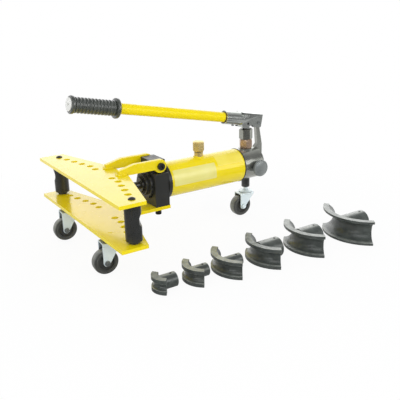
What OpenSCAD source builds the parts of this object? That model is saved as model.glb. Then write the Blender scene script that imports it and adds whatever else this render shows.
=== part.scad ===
// Hand-pumped hydraulic pipe bender with wing plates, bending shoes and a set of bending dies.
// +X runs from the shoes to the pump, +Z is up, and the floor is at zero height.
// The origin lies on the floor and on the centre line, below the two outermost pin holes.

/* [Wing plates] */
// Thickness of each wing plate
plate_t = 7; // [6:0.5:9]
// Clear gap between the two plates
plate_gap = 76; // [74:1:84]
// Half of the plates' length across the machine
plate_half = 197; // [190:1:210]
// How far the plates reach in front of the outermost pin holes
plate_nose = 36; // [32:1:44]
// How far the plates reach behind those holes at their ends
plate_heel = 17; // [14:1:22]
// How far the plates reach behind those holes at the middle
plate_apex = 62; // [58:1:66]
// Half width of the straight middle stretch of the rear edge
apex_half = 38; // [36:1:44]
// Diameter of a pin hole
pin_hole_d = 14; // [12:0.5:16]
// Distance of the outermost pin holes from the plates' ends
hole_margin = 23; // [19:1:29]
// Step from one pin hole to the next, across the machine
hole_step = 27; // [25:0.5:28]
// Step from one pin hole to the next, towards the pump
hole_back = 6.6; // [5:0.2:7]

/* [Shoes] */
// Diameter of a bending shoe
shoe_d = 31; // [28:1:34]
// Depth of the pipe groove in a shoe
shoe_groove = 4.5; // [3:0.5:6]
// Heading of the near shoe's groove
near_shoe_turn = -28; // [-180:1:180]
// Heading of the far shoe's groove
far_shoe_turn = 150; // [-180:1:180]

/* [Casters] */
// Diameter of a caster wheel
wheel_d = 50; // [46:1:54]
// Width of a caster wheel
wheel_w = 18; // [16:1:22]
// Distance from a caster's swivel axis to its axle
caster_trail = 15; // [12:0.5:18]
// Distance of the front casters from the plates' ends
caster_margin = 95; // [85:1:102]
// Distance of the front casters in front of the outermost pin holes
caster_nose = 13; // [4:1:14]
// Heading in which the front casters trail
front_heading = 175; // [0:1:359]
// Heading in which the rear caster trails
rear_heading = 178; // [0:1:359]

/* [Block] */
// Distance of the block's front face behind the outermost pin holes
block_front = 122; // [118:1:126]
// Length of the block along the ram
block_len = 33; // [32:1:38]
// Width of the block
block_w = 76; // [74:1:84]
// Width of the boss between the straps
boss_w = 48; // [44:1:52]
// Height of the strap pivot above the upper plate
pivot_rise = 3.5; // [2:0.5:6]
// Diameter of the eye at the end of a strap
eye_d = 28.5; // [26:0.5:30]
// Thickness of a strap
strap_t = 10; // [8:0.5:11]

/* [Tank and cylinder] */
// Height of the ram axis above the lower plate
axis_over_plate = 44; // [43:0.5:45]
// Outer diameter of the oil tank tube
tube_d = 76; // [75:0.5:80]
// Wall of the oil tank tube
tube_wall = 4; // [3:0.5:4.5]
// Length of the oil tank tube
tube_len = 192; // [182:1:210]
// Bore of the pressure cylinder
cylinder_bore = 44; // [40:1:46]
// Wall of the pressure cylinder
cylinder_wall = 4.5; // [4:0.5:5.5]
// Distance of the filler neck behind the front of the tank tube
filler_set = 91; // [60:1:120]

/* [Ram] */
// Diameter of the ram's rod
rod_d = 30; // [26:1:32]
// Diameter of the nose that carries a die
nose_d = 16; // [14:0.5:17]
// Length of the nose that carries a die
nose_len = 12; // [10:1:14]

/* [Pump] */
// Diameter of the pump body
body_d = 72; // [70:1:74]
// Length of the pump body behind the tank
body_len = 54; // [50:1:60]
// Distance of the pump plunger behind the front of the pump body
pump_set = 27; // [26:1:28]
// Diameter of the pump plunger
plunger_d = 14; // [12:0.5:15]
// Width across the flats of the pump barrel and of its gland nut
hex_flats = 27; // [25:1:28]
// Height of the pump barrel's hexagon
barrel_h = 21; // [18:1:24]
// Height of the gland nut
gland_h = 24; // [22:1:26]
// Diameter of the release knob
knob_d = 38; // [32:1:40]
// Thickness of the release knob
knob_t = 8; // [6:1:14]

/* [Handle] */
// Angle of the lowered handle above the level
handle_rake = 11; // [8:1:14]
// Distance from the handle's pivot to the end of the grip
handle_reach = 451; // [420:1:520]
// Diameter of the handle tube
handle_d = 22; // [20:0.5:24]
// Diameter of the socket that holds the handle tube
socket_d = 30; // [29:0.5:32]
// Distance from the handle's pivot to the plunger pin
lever_arm = 29.6; // [28:0.2:31]
// Length of the grip
grip_len = 100; // [90:1:120]
// Diameter of the grip over its ribs
grip_d = 31.5; // [30:0.5:35]
// Diameter of the grip's flange on the side of the tube
flange_d = 41; // [37:0.5:44]
// Diameter of the grip's flange at its outer end
end_flange_d = 35.5; // [33:0.5:40]

/* [Dies] */
// Distance of the first die's centre line from the plates' ends
die_margin = 27; // [27:1:60]
// Least thickness of a die's lips above and below its groove
lip_t = 4.5; // [3.5:0.5:6]
// Width of the flat top of a die's lips
lip_w = 12; // [10:0.5:13]
// Half of the angle that a die's groove sweeps
die_sweep = 55; // [45:1:60]

/* [Hidden] */
$fn = 96;

// Overrun of every cut
overrun = 1;
// Clearance between pieces that move past each other
gap = 0.3;
// Radial clearance of a hinge pin
pin_fit = 0.05;
// Radial clearance of a die on the ram's nose
nose_fit = 0.05;
// Radial play of a shoe's pins in the pin holes
pin_play = 0.5;

// Caster build-up
axle_z = wheel_d / 2;
wheel_clear = 3;
front_fork_rise = 10;
side_clear = 2;
fork_t = 3;
fork_d = 36;
fork_leg_t = 2.5;
fork_leg_half = 15;
fork_foot_r = 7;
dish_t = 4;
dish_r = 16;
stem_r = 5;
rivet_r = 8;
rivet_h = 1.6;
front_collar_h = 3.7;
front_collar_r = 11;
rear_stem_show = 8.2;
stem_depth = 18;
axle_r = 3;
axle_head_r = 5.8;
axle_head_h = 5;
hub_r = 17;
hub_boss_r = 8;
tyre_chamfer = 3;
hex_sides = 6;
fork_under = wheel_d + wheel_clear;
fork_top = fork_under + fork_t;
dish_top = fork_top + gap + dish_t;
fork_inner = wheel_w / 2 + side_clear;
fork_outer = fork_inner + fork_leg_t;
fork_tail = caster_trail + fork_foot_r;

// Plates
lower_z = dish_top + front_fork_rise + front_collar_h;
lower_top = lower_z + plate_t;
upper_z = lower_top + plate_gap;
upper_top = upper_z + plate_t;
hole_count = 6;
hole_reach = plate_half - hole_margin;
caster_reach = plate_half - caster_margin;
hole_rows = hole_count - 2;
tail_margin = 1;
tail_half = block_w / 2 + tail_margin;

// Axis and stations along the ram
axis_h = lower_top + axis_over_plate;
block_back = block_front + block_len;
lock_t = 8;
lock_over = 3;
tube_front = block_back + lock_t;
tube_back = tube_front + tube_len;
gasket_t = 2.5;
gasket_over = 0.6;
body_front = tube_back + gasket_t;
body_back = body_front + body_len;
tube_r = tube_d / 2;
tube_inner = tube_r - tube_wall;
cylinder_r = cylinder_bore / 2;
cylinder_outer = cylinder_r + cylinder_wall;
spigot_len = 6;
gland_seat = 8;
cylinder_front = block_front + gland_seat;
cylinder_seat = 8.5;
cylinder_back = body_front + cylinder_seat;

// Strap and its pivot
boss_set = 1.5;
boss_over = 10.5;
shoulder_gap = 1;
pivot_x = block_front + block_len / 2;
pivot_z = upper_top + pivot_rise;
eye_r = eye_d / 2;
eye_crown = 0.3;
eye_lap = 1.5;
strap_top = pivot_z + eye_r - eye_crown;
strap_inner = boss_w / 2 + gap;
strap_outer = strap_inner + strap_t;
strap_foot = 18;
strap_foot_h = 9;
strap_ramp = 35;
strap_drop = 3;
strap_step = 1.5;
shoulder_z = pivot_z - eye_r - shoulder_gap;
pivot_bolt_r = 5;
pivot_bolt_in = 15;
pivot_head_r = 7.7;
pivot_head_h = 6;
block_bolt_r = 4;
block_bolt_play = 0.5;
block_bolt_in = 24;
block_bolt_y = 28;
block_bolt_set = 10;
bolt_head_r = 6.5;
bolt_head_h = 11;

// Shoes
shoe_r = shoe_d / 2;
shoe_pin_r = pin_hole_d / 2 - pin_play;
shoe_collar_r = 9.5;
shoe_collar_h = 5;
pin_proud = 4;
pin_dome_r = 10;

// Ram and its glands
gland_proud = 12;
gland_len = 16;
flange_over = 5.5;
flange_thick = 6;
ring_wall = 3.7;
wiper_depth = 4;
wiper_wall = 4;
wiper_proud = 1;
gland_slot_count = 8;
gland_slot_w = 6;
gland_slot_h = 3;
nose_step = 5;
rod_r = rod_d / 2;
wiper_r = rod_r + gap + wiper_wall;
flange_r = cylinder_outer + flange_over;
nose_r = nose_d / 2;
rod_front = block_front - gland_proud - nose_step;
piston_len = 25;
piston_rest = 3;
piston_back = cylinder_back - piston_rest;
piston_front = piston_back - piston_len;
stud_r = 9;
seal_w = 6;
seal_t = 4;
gland_front = block_front - gland_proud;
gland_back = cylinder_front + gland_len;

// Return spring inside the pressure cylinder
spring_wire_r = 1.6;
spring_wall_gap = 1.2;
spring_turns = 9;
spring_steps = 16;
spring_sides = 6;
spring_r = cylinder_r - spring_wall_gap - spring_wire_r;
spring_rings = spring_turns * spring_steps + 1;
spring_low = gland_back + spring_wire_r;
spring_high = piston_front - spring_wire_r;
spring_run = spring_high - spring_low;

// Pump body and what it carries
pump_x = body_front + pump_set;
pad_over = 1;
pad_r = 17;
pad_z = axis_h + body_d / 2 + pad_over;
barrel_top = pad_z + barrel_h;
gland_top = barrel_top + gland_h;
hex_r = hex_flats / 2 / cos(180 / hex_sides);
barrel_spigot_r = 10;
barrel_in = 12;
barrel_neck_h = 7;
packing_h = 7;
plunger_r = plunger_d / 2;
barrel_bore = plunger_r + gap;
barrel_floor = 3;
port_r = 2.5;
ball_r = 3.5;
ball_play = 0.8;
ball_depth = 12;
ball_floor = pad_z - barrel_in - ball_depth;
delivery_rise = 15;
boss_r = 9;
knob_set = 7.5;
knob_drop = 3;
knob_x = pump_x + knob_set;
knob_z = axis_h - knob_drop;
knob_gap = 6;
valve_boss_r = 9.5;
valve_boss_over = 3;
knob_back = body_d / 2 + knob_gap;
knob_front = knob_back + knob_t;
spindle_r = 5;
spindle_in = 8;
spindle_tip = 10;

// Handle, in a frame whose origin is the pivot and whose -X runs along the handle
pin_drop = 4;
pin_reach = sqrt(lever_arm * lever_arm - pin_drop * pin_drop);
pivot_over_gland = 12;
stroke_share = 0.865;
link_x = lever_arm * stroke_share;
handle_x = pump_x + link_x;
handle_z = gland_top + pivot_over_gland;
head_back = 9;
head_web = 5;
head_pocket = 12;
head_front = pin_reach + head_pocket;
head_low = 10.5;
head_lobe = 15;
head_high = 19.5;
head_corner_r = 9;
head_heel_r = 4;
arch_r = 6;
arch_set = 10.8;
arch_drop = 1.5;
roof_t = 7;
cheek_t = 6.6;
post_half = 4.5;
post_eye_half = 7;
cheek_gap = 0.4;
cheek_inner = max(post_eye_half, plunger_r) + cheek_gap;
cheek_outer = cheek_inner + cheek_t;
socket_axis = head_high - socket_d / 2;
socket_len = 49;
socket_front = head_front + socket_len;
tube_seat = 6;
tube_in = head_front + tube_seat;
handle_wall = 2.5;
handle_pin_r = 4;
handle_pin_over = 1.5;
plunger_pin_r = 3;
post_r = 8;
post_rear = 17;
post_front = 3;
post_high = 40;
post_bend = 20;
post_root = 12;
post_fillet = 7;
link_wall = 2.5;
link_half_y = 6.5;
slot_r = 4;
slot_run = 4;
plunger_foot = 7;
screw_r = 3;
screw_proud = 2;
screw_sets = [10, 21];

// Grip
flange_t = 7;
rib_count = 12;
rib_share = 0.6;
rib_depth = 2;
tube_short = 2;
plug_depth = 14;
plug_hole_r = 3;
plug_head_t = 2.5;
plug_head_r = 13;
handle_r = handle_d / 2;
grip_inner = grip_d / 2 - rib_depth;
rib_pitch = (grip_len - 2 * flange_t) / rib_count;

// Filler
neck_r = 10;
neck_bore_r = 7;
neck_h = 10;
cap_flats = 24;
cap_h = 23;
cap_plug_h = 10;
cap_seal_t = 1.2;
filler_x = tube_front + filler_set;
neck_top = axis_h + tube_r + neck_h;
cap_r = cap_flats / 2 / cos(180 / hex_sides);

// Dies: pipe diameters, groove radii and places of the groove's ends along the row
pipe_ds = [13.7, 17.2, 21.3, 26.9, 33.7, 42.4];
die_radii = [30, 43, 60, 66.5, 74.5, 90];
die_ends = [20, 91, 165, 251, 356, 480];
die_fan = 3;
die_row = plate_half + die_margin;
pipe_play = 0.3;
lip_crown = 0.6;
lip_extras = [2.8, 2.6, 1.8, 2.5, 1.3, 0.2];
hub_drops = [0.5, 3.5, 5, 0.5, 0.5, 5];
hub_necks = [-2, -2, 3, 5, 5, 5];
hub_overs = [15, 4, -4.5, -2, -8, -8];
hub_start_share = 0.35;
hub_neck_share = 0.8;
socket_depth = 13;
screw_hole_r = 2.5;
screw_hole_set = 9.5;
largest_pipe = pipe_ds[len(pipe_ds) - 1];

// Colours
yellow = [0.95, 0.78, 0.05];
black = [0.12, 0.12, 0.13];
gunmetal = [0.38, 0.39, 0.40];
iron = [0.28, 0.29, 0.29];
zinc = [0.78, 0.82, 0.85];
steel = [0.62, 0.63, 0.65];
brass = [0.80, 0.62, 0.28];
copper = [0.62, 0.40, 0.30];
rubber = [0.08, 0.08, 0.08];
white = [0.90, 0.90, 0.88];

// A round bar on the ram axis
module rod_x(from, to, r) {
    translate([from, 0, axis_h])
        rotate([0, 90, 0])
            cylinder(h = to - from, r = r);
}

// A ring on the ram axis
module ring_x(from, to, outer, inner) {
    difference() {
        rod_x(from, to, outer);
        rod_x(from - overrun, to + overrun, inner);
    }
}

// A round bar across the machine
module rod_y(x, z, from, to, r) {
    translate([x, from, z])
        rotate([-90, 0, 0])
            cylinder(h = to - from, r = r);
}

// An upright round bar
module rod_z(x, y, from, to, r) {
    translate([x, y, from])
        cylinder(h = to - from, r = r);
}

// A flat side plate: a drawing in X and Z, thickened from one place to another across the machine
module side_plate(from, to) {
    translate([0, to, 0])
        rotate([90, 0, 0])
            linear_extrude(to - from)
                children();
}

// A box between two corners
module box(low, high) {
    translate(low)
        cube(high - low);
}

// Wing plates
function hole_x(i) = min(i, hole_rows) * hole_back;
function hole_y(i) = hole_reach - i * hole_step;

module wing_outline() {
    polygon([
        [-plate_nose, -plate_half], [plate_heel, -plate_half], [plate_apex, -apex_half],
        [plate_apex, apex_half], [plate_heel, plate_half], [-plate_nose, plate_half]
    ]);
}

module pin_holes(z) {
    for (side = [-1, 1], i = [0 : hole_count - 1])
        rod_z(hole_x(i), side * hole_y(i), z - overrun, z + plate_t + overrun, pin_hole_d / 2);
}

module block_bolt_places() {
    for (side = [-1, 1])
        translate([block_front + block_bolt_set, side * block_bolt_y, 0])
            children();
}

module lower_plate() {
    color(yellow)
    difference() {
        union() {
            translate([0, 0, lower_z])
                linear_extrude(plate_t)
                    wing_outline();
            box([0, -tail_half, lower_z], [block_back + tail_margin, tail_half, lower_top]);
        }
        pin_holes(lower_z);
        for (side = [-1, 1])
            rod_z(-caster_nose, side * caster_reach, lower_z - overrun, lower_top + overrun, stem_r);
        block_bolt_places()
            rod_z(0, 0, lower_z - overrun, lower_top + overrun, block_bolt_r + block_bolt_play);
    }
}

module upper_plate() {
    color(yellow)
    difference() {
        translate([0, 0, upper_z])
            linear_extrude(plate_t)
                wing_outline();
        pin_holes(upper_z);
    }
}

// Straps that hinge the upper plate on the block
module strap(from, to) {
    front = plate_apex - strap_foot;
    step = plate_apex + strap_step;
    color(yellow)
    difference() {
        union() {
            side_plate(from, to)
                polygon([
                    [front, upper_top], [front, upper_top + strap_foot_h], [front + strap_ramp, strap_top],
                    [pivot_x + eye_lap, strap_top], [pivot_x + eye_lap, upper_top - strap_drop],
                    [step, upper_top - strap_drop], [step, upper_top]
                ]);
            rod_y(pivot_x, pivot_z, from, to, eye_r);
        }
        rod_y(pivot_x, pivot_z, from - overrun, to + overrun, pivot_bolt_r + pin_fit);
    }
}

module strap_near() {
    strap(-strap_outer, -strap_inner);
}

module strap_far() {
    strap(strap_inner, strap_outer);
}

module pivot_bolt() {
    shank_in = boss_w / 2 - pivot_bolt_in;
    head_from = strap_outer + gap;
    union() {
        rod_y(pivot_x, pivot_z, shank_in, head_from + overrun, pivot_bolt_r);
        rod_y(pivot_x, pivot_z, head_from, head_from + pivot_head_h, pivot_head_r);
    }
}

module pivot_bolts() {
    color(black) {
        pivot_bolt();
        mirror([0, 1, 0])
            pivot_bolt();
    }
}

// Cast block that joins the cylinder to the lower plate
module front_block() {
    color(black)
    difference() {
        union() {
            box([block_front, -block_w / 2, lower_top], [block_back, block_w / 2, shoulder_z]);
            box([block_front + boss_set, -boss_w / 2, lower_top],
                [block_back, boss_w / 2, pivot_z + boss_over]);
        }
        rod_x(block_front - overrun, block_back + overrun, cylinder_outer);
        for (side = [0, 1])
            mirror([0, side, 0])
                rod_y(pivot_x, pivot_z, boss_w / 2 - pivot_bolt_in, block_w, pivot_bolt_r);
        block_bolt_places()
            rod_z(0, 0, lower_top - overrun, lower_top + block_bolt_in, block_bolt_r);
    }
}

module block_bolts() {
    color(black)
    block_bolt_places() {
        rod_z(0, 0, lower_z - bolt_head_h, lower_z, bolt_head_r);
        rod_z(0, 0, lower_z - overrun, lower_top + block_bolt_in, block_bolt_r);
    }
}

// Tank, pressure cylinder and the rings that close them
module lock_ring() {
    color(black)
    union() {
        ring_x(block_back, tube_front, tube_r + lock_over, cylinder_outer);
        ring_x(tube_front - overrun, tube_front + spigot_len, tube_inner, cylinder_outer);
    }
}

module tank_tube() {
    color(yellow)
    difference() {
        ring_x(tube_front, tube_back, tube_r, tube_inner);
        rod_z(filler_x, 0, axis_h, axis_h + tube_d, neck_bore_r);
    }
}

module tank_gasket() {
    color(black)
    ring_x(tube_back, body_front, tube_r + gasket_over, tube_inner);
}

module pressure_cylinder() {
    color(steel)
    ring_x(cylinder_front, cylinder_back, cylinder_outer, cylinder_r);
}

module front_gland() {
    color(black)
    difference() {
        union() {
            rod_x(gland_front, block_front, wiper_r + ring_wall);
            rod_x(block_front - flange_thick, block_front, flange_r);
            rod_x(block_front - overrun, cylinder_front, cylinder_outer);
            rod_x(cylinder_front - overrun, gland_back, cylinder_r);
        }
        rod_x(gland_front - overrun, gland_back + overrun, rod_r + gap);
        rod_x(gland_front - overrun, gland_front + wiper_depth, wiper_r);
        for (i = [0 : gland_slot_count - 1])
            translate([0, 0, axis_h])
                rotate([360 * i / gland_slot_count, 0, 0])
                    box([block_front - flange_thick - overrun, -gland_slot_w / 2, flange_r - gland_slot_h],
                        [block_front + overrun, gland_slot_w / 2, flange_r + overrun]);
    }
}

module rod_wiper() {
    color(rubber)
    ring_x(gland_front - wiper_proud, gland_front + wiper_depth, wiper_r, rod_r + gap);
}

// Coil whose rings follow the turn of the helix
function spring_at(i) = spring_low + spring_run * i / (spring_rings - 1);
function spring_point(i, r) =
    let (turn = 360 * i / spring_steps)
    [spring_at(i), r * cos(turn), axis_h + r * sin(turn)];

spring_gaps = [
    for (i = [0 : spring_rings - spring_steps - 1])
        norm(spring_point(i + spring_steps, spring_r) - spring_point(i, spring_r)) - 2 * spring_wire_r
];
echo(return_spring_least_gap = min(spring_gaps));

module return_spring() {
    points = [
        for (i = [0 : spring_rings - 1], k = [0 : spring_sides - 1])
            let (side = 360 * k / spring_sides)
            spring_point(i, spring_r + spring_wire_r * cos(side)) + [spring_wire_r * sin(side), 0, 0]
    ];
    sides = [
        for (i = [0 : spring_rings - 2], k = [0 : spring_sides - 1])
            let (
                a = i * spring_sides + k,
                b = i * spring_sides + (k + 1) % spring_sides,
                c = a + spring_sides,
                d = b + spring_sides
            )
            each [[a, b, d], [a, d, c]]
    ];
    last = (spring_rings - 1) * spring_sides;
    ends = [
        for (k = [1 : spring_sides - 2])
            each [[0, k + 1, k], [last, last + k, last + k + 1]]
    ];
    color(steel)
    polyhedron(points, concat(sides, ends));
}

// Ram
module ram_rod() {
    color(steel)
    union() {
        rod_x(rod_front - nose_len, rod_front + overrun, nose_r);
        rod_x(rod_front, piston_front, rod_r);
        rod_x(piston_front - overrun, piston_back, stud_r);
    }
}

module piston_groove(outer) {
    middle = (piston_front + piston_back) / 2;
    ring_x(middle - seal_w / 2, middle + seal_w / 2, outer, cylinder_r - gap - seal_t);
}

module ram_piston() {
    color(steel)
    difference() {
        ring_x(piston_front, piston_back, cylinder_r - gap, stud_r);
        piston_groove(cylinder_r);
    }
}

module piston_seal() {
    color(rubber)
    piston_groove(cylinder_r - gap);
}

// Pump body with the post that carries the handle
module post_outline() {
    heel = body_back + post_rear;
    polygon([
        [handle_x, handle_z], [handle_x + post_r, handle_z], [heel, axis_h + post_high],
        [heel, axis_h + post_bend], [body_back - post_root, axis_h - post_bend],
        [body_back - post_root, axis_h + post_bend],
        [body_back + post_front - post_fillet, axis_h + body_d / 2],
        [body_back + post_front, axis_h + body_d / 2 + post_fillet]
    ]);
}

module pump_body() {
    boss_low = dish_top + rear_stem_show;
    color(gunmetal)
    difference() {
        union() {
            rod_x(tube_back - spigot_len, body_front + overrun, tube_inner);
            rod_x(body_front, body_back, body_d / 2);
            rod_z(pump_x, 0, axis_h, pad_z, pad_r);
            rod_z(pump_x, 0, boss_low, axis_h, boss_r);
            side_plate(-post_half, post_half)
                post_outline();
            rod_y(handle_x, handle_z, -post_eye_half, post_eye_half, post_r);
            rod_y(knob_x, knob_z, -body_d / 2 - valve_boss_over, -spindle_tip, valve_boss_r);
        }
        rod_y(handle_x, handle_z, -body_d, body_d, handle_pin_r + pin_fit);
        rod_x(tube_back - spigot_len - overrun, cylinder_back, cylinder_outer);
        rod_z(pump_x, 0, pad_z - barrel_in, pad_z + overrun, barrel_spigot_r);
        rod_z(pump_x, 0, ball_floor, pad_z, ball_r + ball_play);
        translate([0, 0, delivery_rise])
            rod_x(cylinder_back - overrun, pump_x, port_r);
        translate([0, 0, -knob_drop])
            rod_x(cylinder_back - overrun, knob_x, port_r);
        rod_y(knob_x, knob_z, -body_d, -spindle_tip + gap, spindle_r + gap);
        rod_z(pump_x, 0, boss_low - overrun, boss_low + stem_depth, stem_r);
    }
}

// A hexagon on the plunger's axis, turned so far from a corner towards the handle's post
module hex_z(from, to, r, turn) {
    translate([pump_x, 0, from])
        rotate(turn)
            cylinder(h = to - from, r = r, $fn = hex_sides);
}

module pump_barrel() {
    color(copper)
    difference() {
        union() {
            rod_z(pump_x, 0, pad_z - barrel_in, pad_z + overrun, barrel_spigot_r);
            hex_z(pad_z, barrel_top, hex_r, 0);
            rod_z(pump_x, 0, barrel_top - overrun, barrel_top + barrel_neck_h, barrel_spigot_r);
        }
        rod_z(pump_x, 0, pad_z - barrel_in + barrel_floor, gland_top, barrel_bore);
        rod_z(pump_x, 0, pad_z - barrel_in - overrun, pad_z, port_r);
    }
}

module pump_gland() {
    color(gunmetal)
    difference() {
        hex_z(barrel_top, gland_top, hex_r, 180 / hex_sides);
        rod_z(pump_x, 0, barrel_top - overrun, barrel_top + barrel_neck_h + packing_h, barrel_spigot_r);
        rod_z(pump_x, 0, barrel_top, gland_top + overrun, barrel_bore);
    }
}

module pump_packing() {
    low = barrel_top + barrel_neck_h;
    color(rubber)
    difference() {
        rod_z(pump_x, 0, low, low + packing_h, barrel_spigot_r);
        rod_z(pump_x, 0, low - overrun, low + packing_h + overrun, barrel_bore);
    }
}

module delivery_ball() {
    color(steel)
    translate([pump_x, 0, ball_floor + ball_r])
        sphere(ball_r);
}

// Plunger with a slotted head for the handle's pin
module slot_outline(r) {
    for (end = [-1, 1])
        translate([end * slot_run, 0])
            circle(r);
    translate([-slot_run, -r])
        square([slot_run + slot_run, r + r]);
}

module pump_plunger() {
    pin_z = handle_z + pin_reach * sin(handle_rake) - pin_drop * cos(handle_rake);
    color(black)
    difference() {
        union() {
            rod_z(pump_x, 0, pad_z - barrel_in + barrel_floor + plunger_foot, pin_z, plunger_r);
            translate([pump_x, 0, pin_z])
                side_plate(-link_half_y, link_half_y)
                    slot_outline(slot_r + link_wall);
        }
        translate([pump_x, 0, pin_z])
            side_plate(-plunger_d, plunger_d)
                slot_outline(slot_r);
    }
}

// Handle
module handle_pose() {
    translate([handle_x, 0, handle_z])
        rotate([0, handle_rake, 0])
            children();
}

// A round bar along the handle tube's axis, measured from the pivot
module handle_bar(from, to, r) {
    translate([-to, 0, socket_axis])
        rotate([0, 90, 0])
            cylinder(h = to - from, r = r);
}

// A round bar across the handle
module handle_cross(x, z, half, r) {
    translate([x, half, z])
        rotate([90, 0, 0])
            cylinder(h = half + half, r = r);
}

module screw_places(from, to) {
    for (set = screw_sets)
        translate([-head_front - set, 0, from])
            cylinder(h = to - from, r = screw_r);
}

// The corner of a plate that a quarter round leaves outside
module corner_cut(x, z, r, side) {
    difference() {
        translate([side > 0 ? x - overrun : x - r, z - overrun])
            square([r + overrun, r + overrun]);
        translate([x + side * r, z + r])
            circle(r);
    }
}

module head_outline() {
    front = -head_front - head_web;
    arch_x = -pin_reach + arch_set;
    difference() {
        union() {
            translate([front, -head_lobe])
                square([arch_x - front, head_lobe + head_high]);
            translate([arch_x - arch_r, -head_low])
                square([head_back - arch_x + arch_r, head_low + head_high]);
        }
        corner_cut(front, -head_lobe, head_corner_r, 1);
        corner_cut(head_back, -head_low, head_heel_r, -1);
        translate([arch_x, -head_low - arch_drop])
            circle(arch_r);
    }
}

module handle_head() {
    color(gunmetal)
    handle_pose()
    difference() {
        union() {
            side_plate(-cheek_outer, cheek_outer)
                head_outline();
            handle_bar(head_front, socket_front, socket_d / 2);
        }
        box([-head_front, -cheek_inner, -head_lobe - overrun],
            [head_back + overrun, cheek_inner, head_high - roof_t]);
        handle_bar(tube_in, socket_front + overrun, handle_r);
        handle_cross(0, 0, socket_d, handle_pin_r);
        handle_cross(-pin_reach, -pin_drop, socket_d, plunger_pin_r);
        screw_places(socket_axis - socket_d, socket_axis);
    }
}

module handle_tube() {
    tube_end = handle_reach - tube_short;
    color(yellow)
    handle_pose()
    difference() {
        handle_bar(tube_in, tube_end, handle_r);
        handle_bar(tube_in - overrun, tube_end + overrun, handle_r - handle_wall);
    }
}

module handle_grip() {
    grip_from = handle_reach - grip_len;
    color(black)
    handle_pose()
    difference() {
        union() {
            handle_bar(grip_from, handle_reach, grip_inner);
            handle_bar(grip_from, grip_from + flange_t, flange_d / 2);
            handle_bar(handle_reach - flange_t, handle_reach, end_flange_d / 2);
            for (i = [0 : rib_count - 1])
                let (middle = grip_from + flange_t + (i + 1 / 2) * rib_pitch, half = rib_pitch * rib_share / 2)
                    handle_bar(middle - half, middle + half, grip_d / 2);
        }
        handle_bar(grip_from - overrun, handle_reach + overrun, handle_r);
    }
}

module grip_plug() {
    plug_end = handle_reach - tube_short;
    head_end = handle_reach + plug_head_t;
    color(white)
    handle_pose()
    difference() {
        union() {
            handle_bar(plug_end - plug_depth, plug_end + overrun, handle_r - handle_wall);
            handle_bar(plug_end, handle_reach + overrun, handle_r);
            handle_bar(handle_reach, head_end, plug_head_r);
        }
        handle_bar(plug_end - plug_depth - overrun, head_end + overrun, plug_hole_r);
    }
}

module handle_pivot_pin() {
    color(black)
    handle_pose()
        handle_cross(0, 0, cheek_outer + handle_pin_over, handle_pin_r);
}

module plunger_pin() {
    color(black)
    handle_pose()
        handle_cross(-pin_reach, -pin_drop, cheek_outer, plunger_pin_r);
}

module socket_screws() {
    color(black)
    handle_pose()
        screw_places(socket_axis - socket_d / 2 - screw_proud, socket_axis - handle_r);
}

// Release valve
module release_knob() {
    color(gunmetal)
    difference() {
        rod_y(knob_x, knob_z, -knob_front, -knob_back, knob_d / 2);
        rod_y(knob_x, knob_z, -knob_back - spindle_in, -knob_back + overrun, spindle_r);
    }
}

module release_spindle() {
    color(steel)
    rod_y(knob_x, knob_z, -knob_back - spindle_in, -spindle_tip, spindle_r);
}

// Oil filler
module filler_neck() {
    color(brass)
    difference() {
        rod_z(filler_x, 0, axis_h, neck_top, neck_r);
        rod_z(filler_x, 0, axis_h - overrun, neck_top + overrun, neck_bore_r);
        rod_x(filler_x - tube_r, filler_x + tube_r, tube_r);
    }
}

module filler_cap() {
    low = neck_top + cap_seal_t;
    color(brass)
    union() {
        translate([filler_x, 0, low])
            cylinder(h = cap_h, r = cap_r, $fn = hex_sides);
        rod_z(filler_x, 0, low - cap_plug_h, low + overrun, neck_bore_r - gap);
    }
}

module cap_seal() {
    color(rubber)
    difference() {
        rod_z(filler_x, 0, neck_top, neck_top + cap_seal_t, neck_r);
        rod_z(filler_x, 0, neck_top - overrun, neck_top + cap_seal_t + overrun, neck_bore_r - gap);
    }
}

// Bending shoes, which turn on pins in the outermost holes
module shoe(side, turn) {
    low = lower_top + gap;
    high = upper_z - gap;
    pin_top = upper_top + pin_proud;
    groove_r = largest_pipe / 2 + pipe_play;
    color(black)
    translate([hole_x(0), side * hole_y(0), 0])
        rotate(turn)
            difference() {
                union() {
                    rod_z(0, 0, lower_z, low + overrun, shoe_pin_r);
                    rod_z(0, 0, low, low + shoe_collar_h, shoe_collar_r);
                    rod_z(0, 0, low + shoe_collar_h, high, shoe_r);
                    intersection() {
                        rod_z(0, 0, high - overrun, pin_top, shoe_pin_r);
                        translate([0, 0, pin_top - pin_dome_r])
                            sphere(pin_dome_r);
                    }
                    rod_z(0, 0, high - overrun, upper_top, shoe_pin_r);
                }
                rod_y(shoe_r - shoe_groove + groove_r, axis_h, -shoe_d, shoe_d, groove_r);
            }
}

module shoe_near() {
    shoe(-1, near_shoe_turn);
}

module shoe_far() {
    shoe(1, far_shoe_turn);
}

// Casters, each drawn about its own swivel axis
module caster_place(which) {
    at = which == "rear" ? [pump_x, 0] : [-caster_nose, (which == "near" ? -1 : 1) * caster_reach];
    translate([at[0], at[1], 0])
        rotate(which == "rear" ? rear_heading : front_heading)
            children();
}

// How much higher a caster's fork reaches than the rear one
function fork_rise(which) = which == "rear" ? 0 : front_fork_rise;

module caster_stem(which) {
    rise = fork_rise(which);
    low = fork_under + rise - gap;
    top = which == "rear" ? dish_top + rear_stem_show + stem_depth : lower_top;
    color(zinc)
    caster_place(which) {
        rod_z(0, 0, low - rivet_h, low, rivet_r);
        rod_z(0, 0, low - rivet_h, top, stem_r);
        rod_z(0, 0, fork_top + rise + gap, dish_top + rise, dish_r);
        if (which != "rear")
            rod_z(0, 0, dish_top + rise, lower_z, front_collar_r);
    }
}

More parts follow.
